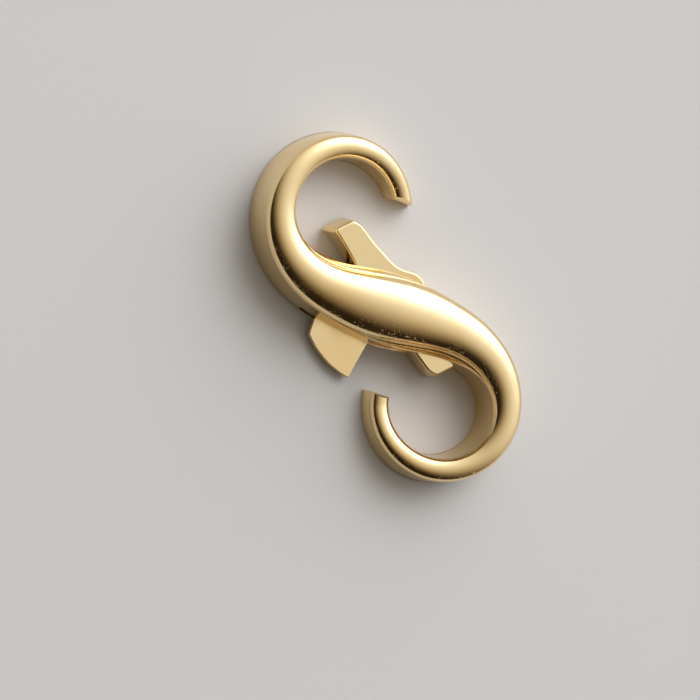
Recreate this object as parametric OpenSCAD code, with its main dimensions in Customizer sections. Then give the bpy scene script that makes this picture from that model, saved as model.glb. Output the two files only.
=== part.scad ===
// S-shaped double-ended necklace clasp with one rocking gate lever, in millimetres.
// The clasp lies flat on its back: +Z is the domed front, and the hooks are one above the other along Y.
// The origin is the middle of the S on its back face. The lever is modelled held fully open.

/* [Body] */
// Radius of the middle line of the upper hook
hook_r = 3.79; // [3.6:0.01:4.0]
// Length over which the S eases from straight, at its middle, into the upper hook
ease_len = 8.45; // [8:0.05:9]
// How late that easing sets in
ease_pow = 2; // [1.8:0.1:2.2]
// Radius of the middle line of the lower hook, which is a little tighter at its end
low_hook_r = 3.5; // [3.4:0.01:3.8]
// Length over which the S eases into the lower hook
low_ease_len = 10.5; // [8.5:0.1:11.5]
// How late that easing sets in
low_ease_pow = 1.6; // [1.4:0.1:2]
// Length of the middle line from the middle of the S to where a hook's section stops changing
half_len = 20.4; // [19.8:0.1:21]
// Length of the middle line past that, which the cut end of each hook trims
spare_len = 0.9; // [0.6:0.1:1.2]
// Direction of the S at its middle, in degrees from +X
lean_a = -44.4; // [-46:0.1:-43]
// Height of the domed front above its foot, as a share of the local width
dome_share = 0.27; // [0.2:0.01:0.32]
// Where the step under the dome sets in on the way into a hook, as a share of the half length
step_start = -0.02; // [-0.1:0.01:0.1]
// Where it ends on the inside of that hook, as a share of the half length
step_end = 0.3; // [0.25:0.01:0.4]
// Length over which it fades in and out, as a share of the half length
step_fade = 0.2; // [0.1:0.01:0.25]
// Height of the rounded edge between the wall and the dome
edge_h = 0.36; // [0.3:0.01:0.4]
// Breadth of that edge where it makes a step
step_edge = 0.3; // [0.2:0.01:0.4]
// Breadth of that edge elsewhere
plain_edge = 0.04; // [0.02:0.01:0.1]
// How far the wall leans in from the back to that edge, and half as far at the step
wall_lean = 0.16; // [0:0.01:0.2]
// Breadth of the rounded edge where a hook's end is cut
tip_edge = 0.14; // [0.1:0.01:0.3]

/* [Slot] */
// Thickness of the back plate under the slot
back_plate = 0.25; // [0.2:0.05:0.4]
// Gap between the lever and the slot, above and below it
side_gap = 0.05; // [0.03:0.01:0.08]
// Gap between the moving edges of the lever and the ends of the slot
sweep_gap = 0.12; // [0.08:0.01:0.2]

/* [Lever] */
// Where the pivot lies, right of the middle of the S
pivot_x = 0.56; // [0.4:0.01:0.7]
// Where the pivot lies, above the middle of the S
pivot_y = 0.42; // [0.3:0.01:0.5]
// Thickness of the lever's arms and hub
arm_thick = 1.75; // [1.5:0.05:1.8]
// Distance from the pivot to the back edge of each arm's end
arm_reach = 5.17; // [5:0.01:5.2]
// Angle that the lever turns from open to shut
shut_a = 43; // [40:1:43]
// Radius of the round ends of the hub
knob_r = 1.15; // [1.1:0.01:1.2]
// Distance from the pivot to the centre of each round end
knob_off = 0.76; // [0.7:0.01:0.8]
// Slope of the arms' end faces, in degrees, longest at the back
end_slope = 7; // [0:0.5:9]
// Thickness of the thumb tab, a thin plate at the back of the lever
tab_thick = 0.45; // [0.35:0.05:0.6]
// Radius of the tab's outer edge about the pivot
tab_r = 5.0; // [4.8:0.05:5.1]

/* [Pin] */
// Radius of the pivot pin
pin_r = 0.45; // [0.35:0.01:0.5]
// Length of the pin, from the back face into the blind hole under the dome
pin_len = 2.85; // [2.6:0.05:3]
// Gap between the pin and the lever's bore
turn_gap = 0.025; // [0.02:0.005:0.05]
// Gap between the pin and the holes in the body
seat_gap = 0.01; // [0.01:0.005:0.02]

/* [Detail] */
// Number of cross-sections along each half of the S
half_steps = 46; // [30:2:60]
// Number of steps across each half of the dome
dome_steps = 5; // [4:1:8]
// Number of sides of the round pieces
round_fn = 48; // [24:4:96]

/* [Hidden] */
gold = [0.86, 0.67, 0.33];
eps = 0.01;

// Gap between a shut arm and the cut end of its hook
shut_gap = 0.05;
// Turn of the arms' end faces away from square to the arms, in degrees
end_turn = 2.6;
// Block that cuts each arm's end face
end_block = [4, 2, 6];
// Direction from the pivot square to the cut end of the upper hook
cut_a = 90 - end_turn - shut_a;
cut_dist = arm_reach + shut_gap;
// Start of the blocks that trim the hooks, and the stretch of the cut that they cover
cut_from = 3.8;
cut_side = 2.6;
cut_span = 3.2;
// Height that clears the whole body
clear_z = 5;
// Rounding of a hook's cut end: how far back it goes, in tip edges, and the height above the wall
tip_rows = [
    [0, 0.07],
    [0.3, 0.38],
    [0.9, 0.62],
    [2, 0.90],
];

slot_z = back_plate;
slot_top = back_plate + arm_thick + 2 * side_gap;
lever_z = back_plate + side_gap;
tab_slot_top = lever_z + tab_thick + side_gap;

// Section table of one half of the S. The rows are a fifth of its length apart, from the middle to the tip.
WIDTH = 0;
DEPTH = 1;
section_rows = [
    // width, depth of the wall
    [4.16, 2.40],
    [3.24, 2.40],
    [2.15, 2.38],
    [1.70, 2.32],
    [1.58, 1.78],
    [1.38, 0.92],
];

// Half of the lever's outline, in the open position with the pivot at the origin and the arm along +Y.
arm_left_x = -1.24;
arm_right_x = 0.76;
arm_outline = [
    [arm_left_x, 0],
    [arm_left_x, 4.1],
    [-1.32, 4.6],
    [-1.64, 5.35],
    [-0.27, 5.35],
    [-0.10, 5.06],
    [0.07, 4.78],
    [0.23, 4.00],
    [0.34, 3.39],
    [0.59, 2.45],
    [arm_right_x, 1.90],
    [0.91, 1.53],
    [1.16, 1.20],
    [1.52, 0.86],
];

// Directions of the arc that the arm's end sweeps, from open to shut
arm_end_a = [100, 90, 75, 60, 45];

// Upper edge and lower root of the thumb tab, seen the same way
tab_outline = [
    [-0.50, 0.90],
    [-3.90, 0.86],
    [-4.26, 1.04],
    [-4.82, 0.53],
];
tab_root = [
    [-2.24, -1.70],
    [-0.50, -0.85],
];
tab_from_a = 176;
tab_to_a = 215;
tab_steps = 12;
// Directions between which the slot leaves room for the tab
tab_slot_a = [112:5:222];

// Row i of the section table, mirrored past the middle and held past the tip
function row(i, col) = section_rows[min(abs(i), len(section_rows) - 1)][col];

// Smooth curve through the rows, at a share u of the half length
function along(u, col) =
    let (
        x = u * (len(section_rows) - 1),
        i = min(floor(x), len(section_rows) - 2),
        t = x - i,
        a = row(i - 1, col),
        b = row(i, col),
        c = row(i + 1, col),
        d = row(i + 2, col)
    )
    b + t * (c - a) / 2 + t * t * (2 * a - 5 * b + 4 * c - d) / 2 + t * t * t * (3 * b - a - 3 * c + d) / 2;

// Turn per millimetre, in radians, at a distance s from the middle
function bend(s, r, ease, p) = pow(sin(90 * min(s / ease, 1)), p) / r;

// Middle line of one half, from the middle outwards: [x, y, direction] at each step
function half_line(r, ease, p) =
    let (ds = (half_len + spare_len) / half_steps)
    [
        for (
            i = 0, x = 0, y = 0, a = lean_a + 180, turn = 0;
            i <= half_steps;
            turn = bend((i + 0.5) * ds, r, ease, p) * ds * 180 / PI,
            x = x + ds * cos(a - turn / 2),
            y = y + ds * sin(a - turn / 2),
            a = a - turn,
            i = i + 1
        )
        [x, y, a]
    ];

// Smooth rise from 0 to 1 about the share at
function fade(v, at) =
    let (t = min(max((v - at) / step_fade + 0.5, 0), 1))
    t * t * (3 - 2 * t);

// How much of a step there is under the dome, from 0 to 1
function step(v) = fade(v, step_start) * (1 - fade(v, step_end));

// One side of the cross-section, from the top of the wall to the crown: [across, height].
// The share v of the half length is positive on the half where this side lies inside the hook.
// It is a rounded edge, broad where there is a step, and then a dome.
function side(v) =
    let (
        u = abs(v),
        k = step(v),
        w = along(u, WIDTH) / 2 - wall_lean * (1 - k / 2),
        d = along(u, DEPTH),
        e = plain_edge + (step_edge - plain_edge) * k,
        rise = along(u, WIDTH) * dome_share
    )
    concat(
        [for (t = [0, 45]) [w - e * (1 - cos(t)), d + edge_h * sin(t)]],
        [
            for (i = [0:dome_steps])
            let (t = 90 * i / dome_steps)
            [(w - e) * cos(t), d + edge_h + rise * sin(t)]
        ]
    );

// Whole cross-section at a share v of the half length, negative on the upper half
function profile(v) =
    let (
        w = along(abs(v), WIDTH) / 2,
        l = side(-v),
        r = side(v)
    )
    concat([[-w, 0], [w, 0]], l, [for (i = [len(r) - 2:-1:0]) [-r[i][0], r[i][1]]]);

// One ring of points: the profile set square to the middle line
function ring(p, a, q) = [for (c = q) [p[0] - c[0] * sin(a), p[1] + c[0] * cos(a), c[1]]];

// Share of the half length at step i, held at 1 past the end
function share(i) = min(1, i / half_steps * (half_len + spare_len) / half_len);

module s_solid() {
    upper = half_line(hook_r, ease_len, ease_pow);
    lower = half_line(low_hook_r, low_ease_len, low_ease_pow);
    rings = concat(
        [
            for (i = [half_steps:-1:0])
            ring(upper[i], upper[i][2] + 180, profile(-share(i)))
        ],
        [
            for (i = [1:half_steps])
            ring([-lower[i][0], -lower[i][1]], lower[i][2] + 180, profile(share(i)))
        ]
    );
    n = len(rings[0]);
    m = len(rings);
    sides = [
        for (i = [0:m - 2], j = [0:n - 1])
        let (k = (j + 1) % n)
        each [
            [i * n + j, (i + 1) * n + j, (i + 1) * n + k],
            [i * n + j, (i + 1) * n + k, i * n + k],
        ]
    ];
    start = [[for (j = [0:n - 1]) j]];
    finish = [[for (j = [n - 1:-1:0]) (m - 1) * n + j]];
    polyhedron(points = [for (r = rings) each r], faces = concat(sides, start, finish));
}

// Plan of the space that both arms and the hub sweep, with the pivot at the origin.
// It follows the left edge of the open arm, an arc past the arm's end and the right edge of the shut arm.
module sweep_plan() {
    circle(r = knob_off + knob_r + sweep_gap, $fn = round_fn);
    far = cut_dist - eps;
    left_edge = [for (i = [0:3]) arm_outline[i] - [sweep_gap / 2, 0]];
    corner = [[arm_left_x, arm_outline[3][1]]];
    arc = [for (a = arm_end_a) far * [cos(a), sin(a)]];
    right_edge = [for (i = [8, 10]) turned(arm_outline[i] + [sweep_gap, 0], -shut_a)];
    for (turn = [0, 180])
        rotate(turn)
        polygon(concat([[0, 0]], left_edge, corner, arc, right_edge));
}

function turned(p, a) = [p[0] * cos(a) - p[1] * sin(a), p[0] * sin(a) + p[1] * cos(a)];

// Plan of the space that the thumb tab sweeps
module tab_sweep_plan() {
    far = tab_r + sweep_gap;
    polygon(concat([[0, 0]], [for (a = tab_slot_a) far * [cos(a), sin(a)]]));
}

module s_body() {
    color(gold)
    difference() {
        trimmed_s();
        translate([pivot_x, pivot_y, 0]) {
            translate([0, 0, slot_z])
            linear_extrude(height = slot_top - slot_z)
            sweep_plan();
            translate([0, 0, slot_z])
            linear_extrude(height = tab_slot_top - slot_z)
            tab_sweep_plan();
            translate([0, 0, -eps])
            cylinder(h = pin_len + 2 * eps + seat_gap, r = pin_r + seat_gap, $fn = round_fn);
        }
    }
}

module trimmed_s() {
    difference() {
        s_solid();
        hook_ends();
    }
}

// Blocks that trim both hooks to a flat end, with a rounded upper edge
module hook_ends() {
    tip = row(len(section_rows) - 1, DEPTH);
    edge = [for (p = tip_rows) [cut_dist + tip_edge * p[0], tip + p[1]]];
    last = edge[len(edge) - 1][0];
    below = [[cut_from, -clear_z], [cut_dist, -clear_z]];
    above = [[last, clear_z], [cut_from, clear_z]];
    translate([pivot_x, pivot_y, 0])
    for (turn = [0, 180])
        rotate(turn + cut_a)
        translate([0, cut_side, 0])
        rotate([90, 0, 0])
        linear_extrude(height = cut_span)
        polygon(concat(below, edge, above));
}

module arms() {
    difference() {
        linear_extrude(height = arm_thick)
        union() {
            for (turn = [0, 180])
                rotate(turn)
                polygon(arm_outline);
            for (side = [-1, 1])
                translate([side * knob_off, 0])
                circle(r = knob_r, $fn = round_fn);
            square([2 * knob_off, 2 * knob_r], center = true);
        }
        for (turn = [0, 180])
            rotate(turn)
            rotate(-end_turn)
            translate([0, arm_reach, 0])
            rotate([end_slope, 0, 0])
            translate([-end_block[0] / 2, 0, -end_block[2] / 2])
            cube(end_block);
    }
}

module tab() {
    outer = [
        for (i = [0:tab_steps])
        let (a = tab_from_a + (tab_to_a - tab_from_a) * i / tab_steps)
        tab_r * [cos(a), sin(a)]
    ];
    linear_extrude(height = tab_thick)
    polygon(concat(tab_outline, outer, tab_root));
}

module gate_lever() {
    color(gold)
    translate([pivot_x, pivot_y, lever_z])
    difference() {
        union() {
            arms();
            tab();
        }
        translate([0, 0, -eps])
        cylinder(h = arm_thick + 2 * eps, r = pin_r + turn_gap, $fn = round_fn);
    }
}

module pivot_pin() {
    color(gold)
    translate([pivot_x, pivot_y, 0])
    cylinder(h = pin_len, r = pin_r, $fn = round_fn);
}

s_body();
gate_lever();
pivot_pin();
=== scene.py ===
import math

import bmesh
import bpy
from mathutils import Matrix, Vector
from mathutils.bvhtree import BVHTree
from mathutils.interpolate import poly_3d_calc


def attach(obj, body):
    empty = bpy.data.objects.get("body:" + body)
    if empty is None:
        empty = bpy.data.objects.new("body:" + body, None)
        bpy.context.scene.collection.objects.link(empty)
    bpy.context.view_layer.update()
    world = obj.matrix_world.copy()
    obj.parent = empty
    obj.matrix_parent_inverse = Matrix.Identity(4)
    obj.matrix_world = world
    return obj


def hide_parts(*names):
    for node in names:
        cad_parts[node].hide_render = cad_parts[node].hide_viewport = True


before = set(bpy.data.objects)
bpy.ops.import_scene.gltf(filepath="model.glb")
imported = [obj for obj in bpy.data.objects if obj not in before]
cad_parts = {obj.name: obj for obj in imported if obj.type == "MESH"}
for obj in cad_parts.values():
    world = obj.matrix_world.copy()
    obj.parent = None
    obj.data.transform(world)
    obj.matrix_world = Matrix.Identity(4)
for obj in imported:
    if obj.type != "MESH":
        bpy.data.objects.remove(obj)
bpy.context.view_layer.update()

MM = 0.001
collection = bpy.context.scene.collection

# Camera, fitted to the photograph: the turns of the clasp in front of it, in radians, its distance, its scale
# and the place of the clasp's origin in the picture, in pixels

SPIN = -0.460
NOD = -0.116
SWAY = 0.304
LEAN = math.radians(55.04)
CAM_DIST = 333.33 * MM
PX_PER_MM = 18.0
PICTURE = 700.0
ORIGIN_PX = (378.55, 308.64)
SENSOR = 36.0

look = (
    Matrix.Rotation(SPIN, 3, "Z")
    @ Matrix.Rotation(NOD, 3, "X")
    @ Matrix.Rotation(SWAY, 3, "Y")
    @ Matrix.Rotation(LEAN, 3, "Z")
)
turn = look.transposed()
cam_data = bpy.data.cameras.new("photo_camera")
cam_data.sensor_width = SENSOR
cam_data.lens = PX_PER_MM * (CAM_DIST / MM) * SENSOR / PICTURE
cam_data.shift_x = -(ORIGIN_PX[0] - PICTURE / 2) / PICTURE
cam_data.shift_y = -(PICTURE / 2 - ORIGIN_PX[1]) / PICTURE
cam_data.clip_start = 0.01
cam_data.clip_end = 20.0
cam = bpy.data.objects.new("photo_camera", cam_data)
cam.matrix_world = Matrix.Translation(turn @ Vector((0, 0, CAM_DIST))) @ turn.to_4x4()
collection.objects.link(cam)
bpy.context.scene.camera = cam

# Shape of the clasp, in millimetres, as in the solid model

UPPER = dict(r=3.79, ease=8.45, power=2.0)
LOWER = dict(r=3.50, ease=10.5, power=1.6)
HALF_LEN = 20.4
SPARE_LEN = 0.9
LEAN_A = math.radians(-44.4)
DOME_SHARE = 0.27
# Where the step under the dome sets in and ends, as shares of the half length
STEP_START = -0.02
STEP_END = 0.3
STEP_FADE = 0.2
# Rounded edge between the wall and the dome, which is broad where it makes a step
EDGE_H = 0.36
STEP_EDGE = 0.3
PLAIN_EDGE = 0.04
# How far that edge is a flat slope where it makes a step, from 0 for a full round to 1
STEP_FLAT = 0.75
# Depth of the fine groove between that step and the dome
GROOVE = 0.09
# How far the wall leans in from the back to that edge, and half as far at the step
WALL_LEAN = 0.16
BACK_ROUND = 0.07
# Width and depth of the wall, a fifth of the half length apart
SECTIONS = (
    (4.16, 2.40),
    (3.24, 2.40),
    (2.15, 2.38),
    (1.70, 2.32),
    (1.58, 1.78),
    (1.38, 0.92),
)
# Angles at which the round parts of the cross-section are sampled, in degrees
BACK_STEPS = (0, 30, 60, 90)
EDGE_STEPS = (0, 10, 20, 30, 40, 50, 60, 70, 80, 86)
DOME_STEPS = (2, 5, 9, 13, 17, 21, 25, 29, 33, 37, 41, 45, 50, 55, 60, 66, 72, 78, 84)
# Number of cross-sections along each half, and of finer steps that the middle line takes between them
HALF_STEPS = 170
FINE_STEPS = 6

PIVOT = Vector((0.56, 0.42, 0.0))
BACK_PLATE = 0.25
SIDE_GAP = 0.05
SWEEP_GAP = 0.12
SHUT_GAP = 0.05
ARM_THICK = 1.75
ARM_REACH = 5.17
SHUT_A = 43.0
END_TURN = 2.6
KNOB_R = 1.15
KNOB_OFF = 0.76
TAB_THICK = 0.45
TAB_R = 5.0
PIN_HOLE_R = 0.46
PIN_HOLE_LOW = -0.1
PIN_HOLE_TOP = 2.87

LEVER_Z = BACK_PLATE + SIDE_GAP
SLOT_TOP = BACK_PLATE + ARM_THICK + 2 * SIDE_GAP
TAB_TOP = LEVER_Z + TAB_THICK + SIDE_GAP
CUT_A = 90.0 - END_TURN - SHUT_A
CUT_DIST = ARM_REACH + SHUT_GAP

# Blocks that trim the hooks: where they start, the stretch of the cut that they cover and their height
CUT_FROM = 3.8
CUT_SIDES = (-0.6, 2.6)
CUT_LOW = -1.0
CUT_TOP = 5.0
# Small roundings of a hook's cut end at the back: how far they go and how high
CUT_BACK_OUT = 0.05
CUT_BACK_UP = 0.06
# Rounding of a hook's cut end in front: how far back it goes, in tip edges, and the height above the wall
TIP_EDGE = 0.14
TIP_ROWS = (
    (0.0, 0.05),
    (0.04, 0.15),
    (0.14, 0.27),
    (0.3, 0.38),
    (0.56, 0.50),
    (0.9, 0.62),
    (1.4, 0.76),
    (2.0, 0.90),
)


def section(u):
    """Width and depth at a share u of the half length, on a smooth curve through the rows."""
    x = min(max(u, 0.0), 1.0) * (len(SECTIONS) - 1)
    i = min(int(x), len(SECTIONS) - 2)
    t = x - i
    rows = [SECTIONS[min(abs(i + k), len(SECTIONS) - 1)] for k in (-1, 0, 1, 2)]
    out = []
    for a, b, c, d in zip(*rows):
        out.append(
            b
            + t * (c - a) / 2
            + t * t * (2 * a - 5 * b + 4 * c - d) / 2
            + t**3 * (3 * b - a - 3 * c + d) / 2
        )
    return out


def half_line(r, ease, power):
    """Middle line from the middle of the S outwards: x, y, direction and distance."""
    n = HALF_STEPS * FINE_STEPS
    ds = (HALF_LEN + SPARE_LEN) / n
    x = y = 0.0
    a = LEAN_A + math.pi
    line = [(x, y, a, 0.0)]
    for i in range(n):
        bend = math.sin(math.pi / 2 * min((i + 0.5) * ds / ease, 1.0)) ** power / r
        x += ds * math.cos(a - bend * ds / 2)
        y += ds * math.sin(a - bend * ds / 2)
        a -= bend * ds
        if (i + 1) % FINE_STEPS == 0:
            line.append((x, y, a, (i + 1) * ds))
    return line


def fade(v, at):
    """Smooth rise from 0 to 1 about the share at."""
    t = min(max((v - at) / STEP_FADE + 0.5, 0.0), 1.0)
    return t * t * (3 - 2 * t)


def side(v):
    """One side of the cross-section, from the back to near the crown: distance across and height.

    The share v of the half length is positive on the half where this side lies inside the hook.
    """
    width, depth = section(abs(v))
    k = fade(v, STEP_START) * (1 - fade(v, STEP_END))
    lean = WALL_LEAN * (1 - k / 2)
    edge = PLAIN_EDGE + (STEP_EDGE - PLAIN_EDGE) * k
    flat = STEP_FLAT * k
    rise = width * DOME_SHARE
    top = depth + EDGE_H
    w = width / 2 - lean
    out = []
    for t in BACK_STEPS:
        c = math.radians(t)
        z = BACK_ROUND * (1 - math.cos(c))
        out.append((width / 2 - BACK_ROUND * (1 - math.sin(c)) - lean * z / depth, z))
    for z in (depth * 0.5, depth - 0.03):
        out.append((width / 2 - lean * z / depth, z))
    for t in EDGE_STEPS:
        c = math.radians(t)
        back = (1 - flat) * (1 - math.cos(c)) + flat * math.sin(c)
        out.append((w - edge * back, depth + EDGE_H * math.sin(c)))
    out.append((w - edge + 0.01, top - GROOVE * k))
    for t in DOME_STEPS:
        c = math.radians(t)
        out.append(((w - edge) * math.cos(c), top + rise * math.sin(c)))
    return out, (0.0, top + rise)


def profile(v):
    """Whole cross-section, anticlockwise, at a share of the half length, negative on the upper half."""
    left, crown = side(-v)
    right, crown = side(v)
    return left + [crown] + [(-q, z) for q, z in reversed(right)]


def mesh_object(name, verts, faces, smooth=True):
    """Object with a mesh whose points are given in millimetres."""
    mesh = bpy.data.meshes.new(name)
    mesh.from_pydata([Vector(v) * MM for v in verts], [], faces)
    mesh.validate()
    for p in mesh.polygons:
        p.use_smooth = smooth
    obj = bpy.data.objects.new(name, mesh)
    collection.objects.link(obj)
    return obj


def remove(obj):
    data = obj.data
    bpy.data.objects.remove(obj)
    bpy.data.meshes.remove(data)


def band(lower, upper, n):
    """Faces between two rings of n points, given by the index of each ring's first point."""
    return [(lower + j, lower + (j + 1) % n, upper + (j + 1) % n, upper + j) for j in range(n)]


def s_solid(name):
    spine = [(x, y, a + math.pi, -s) for x, y, a, s in reversed(half_line(**UPPER))]
    spine += [(-x, -y, a + math.pi, s) for x, y, a, s in half_line(**LOWER)[1:]]
    verts = []
    for x, y, a, s in spine:
        for q, z in profile(s / HALF_LEN):
            verts.append((x - q * math.sin(a), y + q * math.cos(a), z))
    n = len(profile(0))
    last = (len(spine) - 1) * n
    faces = []
    for i in range(0, last, n):
        faces += band(i, i + n, n)
    faces.append(tuple(reversed(range(n))))
    faces.append(tuple(range(last, last + n)))
    return mesh_object(name, verts, faces)


def rotated(p, deg):
    c, s = math.cos(math.radians(deg)), math.sin(math.radians(deg))
    return (p[0] * c - p[1] * s, p[0] * s + p[1] * c)


def polar(r, deg):
    return (r * math.cos(math.radians(deg)), r * math.sin(math.radians(deg)))


def arc(r, a0, a1, n):
    return [polar(r, a0 + (a1 - a0) * i / n) for i in range(n + 1)]


def circle(r, n=72):
    return arc(r, 0, 360, n)[:-1]


def anticlockwise(points):
    area = sum(a[0] * b[1] - b[0] * a[1] for a, b in zip(points, points[1:] + points[:1]))
    return points[::-1] if area < 0 else points


def block(name, lower, upper):
    """Closed block between two outlines with the same number of points."""
    n = len(lower)
    faces = [tuple(reversed(range(n))), tuple(range(n, 2 * n))] + band(0, n, n)
    return mesh_object(name, lower + upper, faces, smooth=False)


def prism(name, outline, z0, z1, turned=0.0):
    """Upright block on an outline about the pivot."""
    pts = [rotated(p, turned) for p in anticlockwise(outline)]
    pts = [(PIVOT.x + x, PIVOT.y + y) for x, y in pts]
    return block(name, [(x, y, z0) for x, y in pts], [(x, y, z1) for x, y in pts])


def end_cutter(name, turned):
    """Block that trims a hook to a flat end, with a rounded upper edge."""
    tip = SECTIONS[-1][1]
    outline = [
        (CUT_FROM, CUT_LOW),
        (CUT_DIST + CUT_BACK_OUT, CUT_LOW),
        (CUT_DIST + CUT_BACK_OUT, 0.0),
        (CUT_DIST, CUT_BACK_UP),
    ]
    outline += [(CUT_DIST + TIP_EDGE * out, tip + up) for out, up in TIP_ROWS]
    outline += [(outline[-1][0], CUT_TOP), (CUT_FROM, CUT_TOP)]
    sides = []
    for t in CUT_SIDES:
        pts = [(*rotated((r, t), turned + CUT_A), z) for r, z in outline]
        sides.append([(PIVOT.x + x, PIVOT.y + y, z) for x, y, z in pts])
    cutter = block(name, *sides)
    bm = bmesh.new()
    bm.from_mesh(cutter.data)
    bmesh.ops.recalc_face_normals(bm, faces=bm.faces)
    bm.to_mesh(cutter.data)
    bm.free()
    return cutter


def cut(obj, cutters):
    """Cuts the cutters out of the object, and removes them."""
    for cutter in cutters:
        mod = obj.modifiers.new("cut", "BOOLEAN")
        mod.operation = "DIFFERENCE"
        mod.solver = "EXACT"
        mod.object = cutter
    deps = bpy.context.evaluated_depsgraph_get()
    mesh = bpy.data.meshes.new_from_object(obj.evaluated_get(deps))
    obj.modifiers.clear()
    old = obj.data
    obj.data = mesh
    bpy.data.meshes.remove(old)
    for cutter in cutters:
        remove(cutter)


def keep_normals(obj, source, limit=25.0, reach=2e-6):
    """Gives the cut mesh the smooth normals of the uncut one wherever it still follows it.

    It does where it lies within reach of it, in metres, and its faces turn less than the limit from it.
    """
    src = source.data
    tree = BVHTree.FromPolygons([v.co for v in src.vertices], [tuple(p.vertices) for p in src.polygons])
    vert_n = [v.normal.copy() for v in src.vertices]
    mesh = obj.data
    near = math.cos(math.radians(limit))
    memo = {}
    normals = [None] * len(mesh.loops)
    for poly in mesh.polygons:
        for li in poly.loop_indices:
            vi = mesh.loops[li].vertex_index
            if vi not in memo:
                co, _, face, dist = tree.find_nearest(mesh.vertices[vi].co)
                ids = src.polygons[face].vertices
                n = Vector((0, 0, 0))
                for k, share in zip(ids, poly_3d_calc([src.vertices[k].co for k in ids], co)):
                    n += vert_n[k] * share
                memo[vi] = n.normalized() if n.length > 1e-9 and dist < reach else None
            n = memo[vi]
            smooth = n is not None and n.dot(poly.normal) > near
            normals[li] = n if smooth else poly.normal.copy()
    mesh.normals_split_custom_set(normals)


# The S body

body = s_solid("s_body_polished")
plain = s_solid("plain_for_normals")

# Plan of the space that the arms sweep: the left edge of the open arm, an arc past the arm's end and the
# right edge of the shut arm
OPEN_EDGE = ((-1.24, 0.0), (-1.24, 4.1), (-1.32, 4.6), (-1.64, 5.35))
END_ARC = (100, 95, 90, 82, 75, 67, 60, 52, 45)
SHUT_EDGE = ((0.34, 3.39), (0.76, 1.90))
TAB_SWEEP = (112, 222, 22)
# Steps in height that keep the faces of the blocks apart
APART = 0.001

sector = [(0.0, 0.0)]
sector += [(x - SWEEP_GAP / 2, y) for x, y in OPEN_EDGE]
sector.append((OPEN_EDGE[0][0], OPEN_EDGE[-1][1]))
sector += [polar(CUT_DIST - 0.01, a) for a in END_ARC]
sector += [rotated((x + SWEEP_GAP, y), -SHUT_A) for x, y in SHUT_EDGE]
tab_sector = [(0.0, 0.0)] + arc(TAB_R + SWEEP_GAP, *TAB_SWEEP)
cut(
    body,
    [
        prism("cut_hub", circle(KNOB_OFF + KNOB_R + SWEEP_GAP), BACK_PLATE, SLOT_TOP),
        prism("cut_arm_a", sector, BACK_PLATE + APART, SLOT_TOP - APART),
        prism("cut_arm_b", sector, BACK_PLATE + 2 * APART, SLOT_TOP - 2 * APART, turned=180),
        prism("cut_tab", tab_sector, BACK_PLATE + 3 * APART, TAB_TOP),
        prism("cut_pin", circle(PIN_HOLE_R), PIN_HOLE_LOW, PIN_HOLE_TOP),
        end_cutter("cut_end_a", 0),
        end_cutter("cut_end_b", 180),
    ],
)
keep_normals(body, plain)
remove(plain)

# The gate lever

# A fillet over the large radius has a point every so many degrees, and a smaller one a fixed number of steps
LARGE_R = 0.3
LARGE_STEP = 6
SMALL_STEPS = 8
# Share of the edge beside a corner that its fillet may take, and half the angle of a nearly straight corner
FILLET_SHARE = 0.48
STRAIGHT = math.radians(89.5)


def filleted(corners):
    """Closed outline with each corner, given as x, y and radius, rounded to its radius."""
    out = []
    n = len(corners)
    for i, (x, y, r) in enumerate(corners):
        p = Vector((x, y))
        a = Vector(corners[i - 1][:2]) - p
        b = Vector(corners[(i + 1) % n][:2]) - p
        la, lb = a.length, b.length
        a.normalize()
        b.normalize()
        half = math.acos(max(-1.0, min(1.0, a.dot(b)))) / 2
        if half > STRAIGHT or r <= 0:
            out.append((x, y))
            continue
        back = min(r / math.tan(half), FILLET_SHARE * la, FILLET_SHARE * lb)
        r = back * math.tan(half)
        centre = p + (a + b).normalized() * (r / math.sin(half))
        v0 = p + a * back - centre
        v1 = p + b * back - centre
        sweep = math.degrees(math.atan2(v0.x * v1.y - v0.y * v1.x, v0.dot(v1)))
        k = max(2, int(abs(sweep) / LARGE_STEP) + 1) if r > LARGE_R else SMALL_STEPS
        for j in range(k + 1):
            vx, vy = rotated(v0, sweep * j / k)
            out.append((centre.x + vx, centre.y + vy))
    return out


def resampled(points, step):
    """Adds points along the long straight stretches of a closed outline."""
    out = []
    for p, q in zip(points, points[1:] + points[:1]):
        out.append(p)
        k = int(math.dist(p, q) / step)
        for j in range(1, k + 1):
            t = j / (k + 1)
            out.append((p[0] + (q[0] - p[0]) * t, p[1] + (q[1] - p[1]) * t))
    return out


def cleaned(points, least=1e-4):
    """Closed outline without points that nearly coincide."""
    out = []
    for p in points:
        if not out or math.dist(p, out[-1]) > least:
            out.append(p)
    if math.dist(out[0], out[-1]) <= least:
        out.pop()
    return out


def inset(points, d):
    """Moves a closed anticlockwise outline inwards by d."""
    out = []
    n = len(points)
    for i in range(n):
        ax, ay = points[i - 1]
        px, py = points[i]
        bx, by = points[(i + 1) % n]
        u = Vector((px - ax, py - ay)).normalized()
        v = Vector((bx - px, by - py)).normalized()
        m = Vector((-(u.y + v.y), u.x + v.x))
        m.normalize()
        k = max(0.5, m.dot(Vector((-u.y, u.x))))
        out.append((px + m.x * d / k, py + m.y * d / k))
    return out


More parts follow.
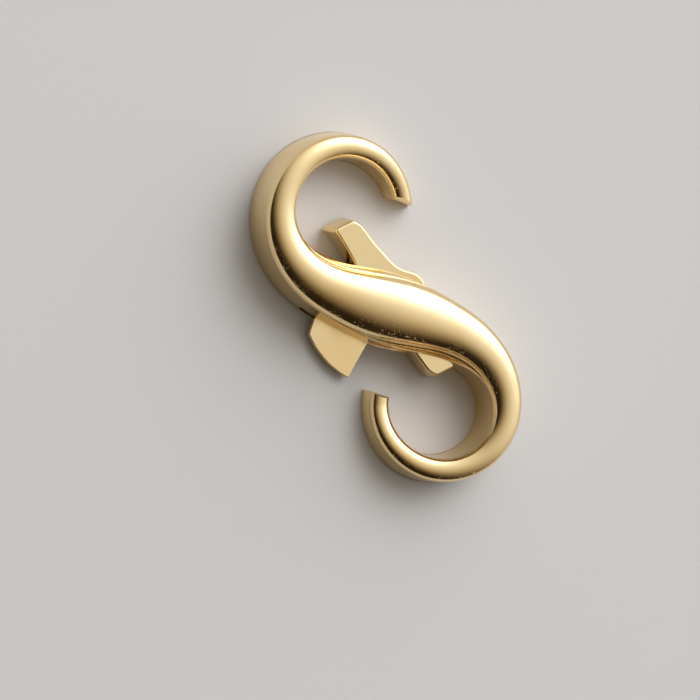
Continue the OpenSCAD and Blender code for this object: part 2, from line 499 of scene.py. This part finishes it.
def plate(name, outline, z0, z1, low_round, top_round, warp=None, levels=6):
    """Plate with rounded lower and upper edges, on an anticlockwise outline about the pivot."""
    quarter = [math.pi / 2 * t / levels for t in range(levels + 1)]
    rings = [(low_round * (1 - math.sin(c)), z0 + low_round * (1 - math.cos(c))) for c in quarter]
    rings.append((0.0, (z0 + z1) / 2))
    rings += [(top_round * (1 - math.cos(c)), z1 - top_round * (1 - math.sin(c))) for c in quarter]
    verts = []
    n = len(outline)
    for d, z in rings:
        for x, y in inset(outline, d):
            if warp:
                x, y = warp(x, y, (z - z0) / (z1 - z0))
            verts.append((PIVOT.x + x, PIVOT.y + y, z))
    top = (len(rings) - 1) * n
    faces = []
    for i in range(0, top, n):
        faces += band(i, i + n, n)
    faces.append(tuple(reversed(range(n))))
    faces.append(tuple(range(top, top + n)))
    obj = mesh_object(name, verts, faces)
    mesh = obj.data
    vert_n = [v.normal.copy() for v in mesh.vertices]
    caps = {v: p.normal.copy() for p in mesh.polygons if len(p.vertices) > 4 for v in p.vertices}
    normals = [None] * len(mesh.loops)
    for p in mesh.polygons:
        for li in p.loop_indices:
            vi = mesh.loops[li].vertex_index
            normals[li] = caps.get(vi, vert_n[vi])
    mesh.normals_split_custom_set(normals)
    return obj


# Where the arms' end faces begin to lean, over what length, and how far they lean along and across the arm
LEAN_FROM = 4.3
LEAN_OVER = 0.7
LEAN_ALONG = 0.20
LEAN_ACROSS = 0.16
# Where, to the left of the arm's middle, the lean across sets in, and over what breadth
ACROSS_FROM = 0.7
ACROSS_OVER = 0.5


def end_lean(x, y, t):
    """The end faces of the arms lean: longest and widest at the back."""
    k = min(max((abs(y) - LEAN_FROM) / LEAN_OVER, 0.0), 1.0)
    k = k * k * (3 - 2 * k)
    across = -x if y > 0 else x
    part = min(max((across - ACROSS_FROM) / ACROSS_OVER, 0.0), 1.0)
    return x + math.copysign(LEAN_ACROSS * t * k * part, y), y - math.copysign(LEAN_ALONG * t * k, y)


# Half of the lever's outline, with the arm along +Y, and the radius that rounds each corner
half = [
    # x, y, radius
    (-1.24, 1.05, 0.10),
    (-1.21, 3.16, 8.0),
    (-1.30, 4.45, 2.0),
    (-1.64, 5.20, 0.19),
    (-0.20, 5.15, 0.22),
    (-0.02, 4.98, 0.5),
    (0.13, 4.57, 2.0),
    (0.24, 4.00, 3.0),
    (0.34, 3.39, 3.0),
    (0.60, 2.45, 3.0),
    (0.76, 1.90, 2.0),
    (0.91, 1.54, 1.5),
    (1.16, 1.20, 1.0),
]
half += [(KNOB_OFF + x, y, 0.0) for x, y in arc(KNOB_R, 50, -65, 26)]
whole = half + [(-x, -y, r) for x, y, r in half]
outline = anticlockwise(cleaned(resampled(filleted(whole), 0.25)))
arms = plate(
    "gate_lever_arms",
    outline,
    LEVER_Z,
    LEVER_Z + ARM_THICK,
    low_round=0.06,
    top_round=0.13,
    warp=end_lean,
)

# Outline of the thumb tab, seen the same way
tab_edge = [(x, y, 0.0) for x, y in arc(TAB_R, 176, 215, 26)]
tab_edge[-1] = (*tab_edge[-1][:2], 0.15)
tab_corners = [
    (-0.50, 0.90, 0.0),
    (-3.90, 0.86, 0.25),
    (-4.26, 1.04, 0.10),
    (-4.82, 0.53, 0.12),
    *tab_edge,
    (-2.24, -1.70, 0.25),
    (-0.50, -0.85, 0.0),
]
tab_outline = anticlockwise(cleaned(resampled(filleted(tab_corners), 0.3)))
tab = plate("gate_lever_tab", tab_outline, LEVER_Z, LEVER_Z + TAB_THICK, low_round=0.05, top_round=0.06)

# Materials


def add(tree, kind, inputs=(), **settings):
    """Adds a shader node with the given settings and socket values."""
    node = tree.nodes.new("ShaderNode" + kind)
    for key, value in settings.items():
        setattr(node, key, value)
    for key, value in dict(inputs).items():
        node.inputs[key].default_value = value
    return node


def new_material(name, inputs):
    """Material with one main shader; returns the material, its tree and the shader."""
    mat = bpy.data.materials.new(name)
    mat.use_nodes = True
    tree = mat.node_tree
    tree.nodes.clear()
    shader = add(tree, "BsdfPrincipled", inputs)
    tree.links.new(shader.outputs[0], add(tree, "OutputMaterial").inputs[0])
    return mat, tree, shader


def ramp(tree, stops, source):
    """Colour ramp with the given stops, driven by an output."""
    node = add(tree, "ValToRGB")
    el = node.color_ramp.elements
    while len(el) < len(stops):
        el.new(0.5)
    for e, (pos, colour) in zip(el, stops):
        e.position = pos
        e.color = (*colour, 1.0)
    tree.links.new(source, node.inputs[0])
    return node.outputs[0]


BLACK = (0, 0, 0)
WHITE = (1, 1, 1)
# Direction of the polishing lines, and their fineness along, across and upwards
LINE_TURN = math.radians(40)
LINE_SCALE = (900.0, 16000.0, 9000.0)
# Side of the S on which the pits lie: to the lower left
PIT_SIDE = (-0.71, -0.70, 0.0)
# Depth of the lines and of the grain, and of the pits, in metres
LINE_DEPTH = 0.00002
PIT_DEPTH = 0.00003


def gold(name, base, deep, rough, scratch, pit, grain=0.0):
    """Gold that varies between two colours and two roughnesses, with lines, pits and a fine grain."""
    mat, tree, shader = new_material(name, {"Metallic": 1.0})
    link = tree.links.new
    where = add(tree, "TexCoord")
    place = where.outputs["Object"]

    def noise(scale, detail, vector=place):
        node = add(tree, "TexNoise", {"Scale": scale, "Detail": detail})
        link(vector, node.inputs["Vector"])
        return node.outputs["Fac"]

    def bump(strength, depth, height, under=None):
        node = add(tree, "Bump", {"Strength": strength, "Distance": depth})
        link(height, node.inputs["Height"])
        if under is not None:
            link(under, node.inputs["Normal"])
        return node.outputs[0]

    link(ramp(tree, [(0.30, deep), (0.70, base)], noise(260.0, 3.0)), shader.inputs["Base Color"])
    span = add(tree, "MapRange", {"From Min": 0.3, "From Max": 0.75, "To Min": rough[0], "To Max": rough[1]})
    link(noise(900.0, 5.0), span.inputs["Value"])
    link(span.outputs[0], shader.inputs["Roughness"])

    # Fine polishing lines, stretched along the S
    along = add(tree, "Mapping", {"Rotation": (0.0, 0.0, LINE_TURN), "Scale": LINE_SCALE})
    link(place, along.inputs["Vector"])
    surface = bump(scratch, LINE_DEPTH, noise(1.0, 2.0, along.outputs[0]))

    # Small pits, gathered in patches on the slope of the dome where the clasp rubs
    cells = add(tree, "TexVoronoi", {"Scale": 6000.0})
    link(place, cells.inputs["Vector"])
    rub = add(tree, "VectorMath", operation="DOT_PRODUCT")
    rub.inputs[1].default_value = PIT_SIDE
    link(where.outputs["Normal"], rub.inputs[0])
    upward = add(tree, "SeparateXYZ")
    link(where.outputs["Normal"], upward.inputs[0])
    worn = ramp(tree, [(0.0, BLACK), (0.32, WHITE)], cells.outputs["Distance"])
    for low, high, source in (
        (0.45, 0.55, noise(620.0, 2.0)),
        (0.25, 0.45, rub.outputs["Value"]),
        (0.16, 0.34, upward.outputs["Z"]),
    ):
        top = add(tree, "Math", operation="MAXIMUM")
        link(worn, top.inputs[0])
        link(ramp(tree, [(low, WHITE), (high, BLACK)], source), top.inputs[1])
        worn = top.outputs[0]
    surface = bump(pit, PIT_DEPTH, worn, surface)
    if grain:
        surface = bump(grain, LINE_DEPTH, noise(9000.0, 2.0), surface)
    link(surface, shader.inputs["Normal"])
    return mat


GOLD = (0.96, 0.75, 0.41)
GOLD_DEEP = (0.92, 0.67, 0.32)
PIN_GOLD = (0.86, 0.66, 0.38)
PIN_GOLD_DEEP = (0.80, 0.58, 0.30)
polished = gold("gold_polished", GOLD, GOLD_DEEP, rough=(0.12, 0.20), scratch=0.10, pit=0.55)
lever_gold = gold("gold_lever", GOLD, GOLD_DEEP, rough=(0.14, 0.24), scratch=0.16, pit=0.2, grain=0.08)
pin_gold = gold("gold_pin", PIN_GOLD, PIN_GOLD_DEEP, rough=(0.2, 0.34), scratch=0.2, pit=0.2, grain=0.1)

for obj, mat in ((body, polished), (arms, lever_gold), (tab, lever_gold)):
    obj.data.materials.clear()
    obj.data.materials.append(mat)
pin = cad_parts["pivot_pin"]
for s in pin.material_slots:
    s.material = pin_gold

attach(body, "frame")
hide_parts("s_body")
for obj in (arms, tab):
    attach(obj, "lever")
    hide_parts("gate_lever")

# Floor, light and surroundings

FAR = 600
floor = mesh_object("floor", [(-FAR, -FAR, 0), (FAR, -FAR, 0), (FAR, FAR, 0), (-FAR, FAR, 0)], [(0, 1, 2, 3)])
floor_mat, _, _ = new_material("floor_pale", {"Base Color": (0.62, 0.605, 0.585, 1.0), "Roughness": 0.75})
floor.data.materials.append(floor_mat)

# Angle in the photograph of the world's +X, in degrees anticlockwise from the right
PHOTO_X = 28.7


def compass(image_deg, height_deg):
    """Direction in the world for an angle seen in the photograph, anticlockwise from its right."""
    a = math.radians(image_deg - PHOTO_X)
    h = math.radians(height_deg)
    return Vector((math.cos(h) * math.cos(a), math.cos(h) * math.sin(a), math.sin(h)))


LAMP_DIST = 0.5
LAMP_SIDE = 0.30
lamp_data = bpy.data.lights.new("key", "AREA")
lamp_data.shape = "RECTANGLE"
lamp_data.size = LAMP_SIDE
lamp_data.size_y = LAMP_SIDE
lamp_data.energy = 0.9
lamp_data.color = (1.0, 0.97, 0.93)
lamp = bpy.data.objects.new("key", lamp_data)
collection.objects.link(lamp)
lamp.location = compass(50, 52) * LAMP_DIST
lamp.rotation_euler = lamp.location.to_track_quat("Z", "Y").to_euler()
lamp.visible_glossy = False

bpy.context.scene.view_settings.view_transform = "Standard"

# One broad soft light, low towards the upper right, fading to dark surroundings
SKY = [
    (0.0, (0.004, 0.003, 0.002)),
    (0.32, (0.010, 0.007, 0.004)),
    (0.40, (0.034, 0.026, 0.018)),
    (0.50, (0.082, 0.068, 0.050)),
    (0.60, (0.150, 0.134, 0.110)),
    (0.71, (0.225, 0.218, 0.204)),
    (0.82, (0.305, 0.308, 0.318)),
    (0.89, (0.42, 0.44, 0.50)),
    (0.96, (0.86, 0.90, 1.0)),
]
world = bpy.data.worlds.new("studio")
bpy.context.scene.world = world
world.use_nodes = True
sky_tree = world.node_tree
sky_tree.nodes.clear()
link = sky_tree.links.new
toward = add(sky_tree, "VectorMath", operation="DOT_PRODUCT")
toward.inputs[1].default_value = tuple(compass(47, 20))
link(add(sky_tree, "TexCoord").outputs["Generated"], toward.inputs[0])
share = add(sky_tree, "Math", operation="MULTIPLY_ADD")
link(toward.outputs["Value"], share.inputs[0])
share.inputs[1].default_value = 0.5
share.inputs[2].default_value = 0.5
back = add(sky_tree, "Background", {"Strength": 3.0})
link(ramp(sky_tree, SKY, share.outputs[0]), back.inputs["Color"])
link(back.outputs[0], add(sky_tree, "OutputWorld").inputs[0])
